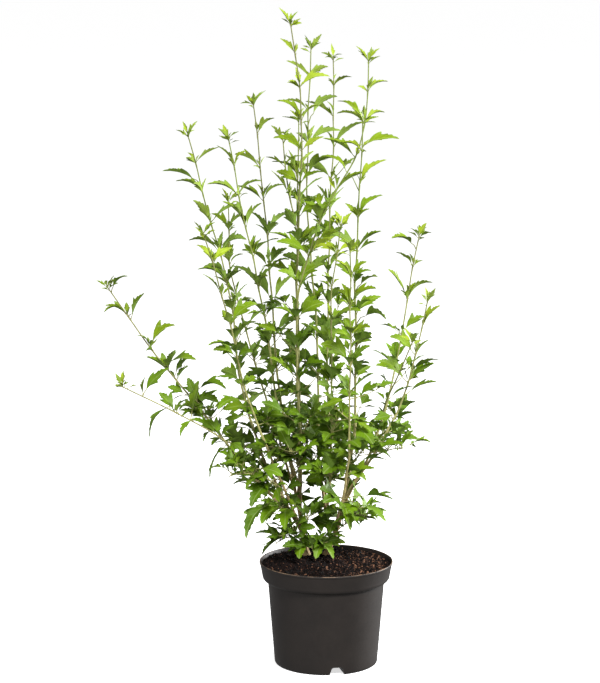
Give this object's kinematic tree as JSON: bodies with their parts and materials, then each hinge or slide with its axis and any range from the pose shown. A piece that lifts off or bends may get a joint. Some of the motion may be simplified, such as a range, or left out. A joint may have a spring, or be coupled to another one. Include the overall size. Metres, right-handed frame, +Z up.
{
  "type": "potted hibiscus shrub",
  "caption": "Young hibiscus shrub with slender upright canes and small three-lobed leaves, open at the top and leaning out low at one side, in a round black nursery pot.",
  "frame": {"origin": "Middle of the pot's flat underside, on the pot's axis, where the pot stands on the ground.", "axes": "+Z up along the pot's axis; -Y is the front, as pictured; +X is to the viewer's right, so the long low shoots lean out towards -X."},
  "size_m": [0.573, 0.4609, 1.1298],
  "materials": {
    "pot_plastic": "satin",
    "compost": "matte",
    "bark": "matte",
    "foliage": "satin"
  },
  "bodies": {
    "root": {"cane_a": "bark", "cane_b": "bark", "cane_c": "bark", "cane_d": "bark", "cane_e": "bark", "cane_f": "bark", "cane_g": "bark", "cane_i": "bark", "cane_k": "bark", "cane_l": "bark", "cane_m": "bark", "cane_n": "bark", "cane_p": "bark", "cane_q": "bark", "cane_r": "bark", "compost": "compost", "low_spray_01": "foliage", "low_spray_02": "foliage", "low_spray_03": "foliage", "low_spray_04": "foliage", "low_spray_05": "foliage", "low_spray_06": "foliage", "low_spray_07": "foliage", "low_spray_08": "foliage", "low_spray_09": "foliage", "low_spray_10": "foliage", "low_spray_11": "foliage", "low_spray_12": "foliage", "low_spray_13": "foliage", "low_spray_14": "foliage", "low_spray_15": "foliage", "low_spray_16": "foliage", "low_spray_17": "foliage", "low_spray_18": "foliage", "low_spray_19": "foliage", "low_spray_20": "foliage", "low_spray_21": "foliage", "low_spray_22": "foliage", "pot": "pot_plastic", "shoot_a": "foliage", "shoot_b": "foliage", "shoot_c": "foliage", "shoot_d": "foliage", "shoot_e": "foliage", "shoot_f": "foliage", "shoot_g": "foliage", "shoot_i": "foliage", "shoot_k": "foliage", "shoot_l": "foliage", "shoot_m": "foliage", "shoot_n": "foliage", "shoot_p": "foliage", "shoot_q": "foliage", "shoot_r": "foliage", "shoot_s": "foliage", "shoot_t": "foliage", "trunk_left": "bark", "trunk_right": "bark"}
  },
  "joints": []
}
